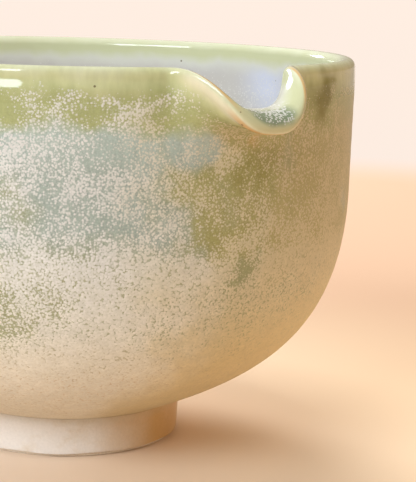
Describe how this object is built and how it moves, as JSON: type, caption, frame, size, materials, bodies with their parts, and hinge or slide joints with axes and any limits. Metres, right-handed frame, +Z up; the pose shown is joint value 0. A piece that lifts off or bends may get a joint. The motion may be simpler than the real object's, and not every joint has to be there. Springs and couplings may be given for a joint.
{
  "type": "tea bowl",
  "caption": "Round thrown stoneware tea bowl with a hand-drawn pouring lip and a low foot ring, green-glazed at the rim over speckled cream.",
  "frame": {"origin": "centre of the foot ring, on the surface that the bowl stands on", "axes": "+Z up along the turning axis, +X through the middle of the pouring lip, +Y to the pourer's side that completes a right-handed frame"},
  "size_m": [0.1311, 0.12, 0.0824],
  "materials": {
    "clay": "fired stoneware clay, dry and unglazed, fine sandy tooth",
    "glaze_outside": "stoneware glaze, cream grain breaking over olive and blue-grey, satin",
    "glaze_inside": "stoneware glaze, pale grey-green with fine speckle, glossy",
    "glaze_rim": "transparent yellow-green stoneware glaze, pooled and glossy",
    "glaze_foot": "thin milky stoneware glaze, satin"
  },
  "bodies": {
    "root": {"bowl_body": "clay", "spout_lip": "clay", "foot_ring": "clay", "outer_glaze": "glaze_outside", "inner_glaze": "glaze_inside", "rim_glaze": "glaze_rim", "spout_glaze": "glaze_rim", "foot_glaze": "glaze_foot"}
  },
  "joints": []
}
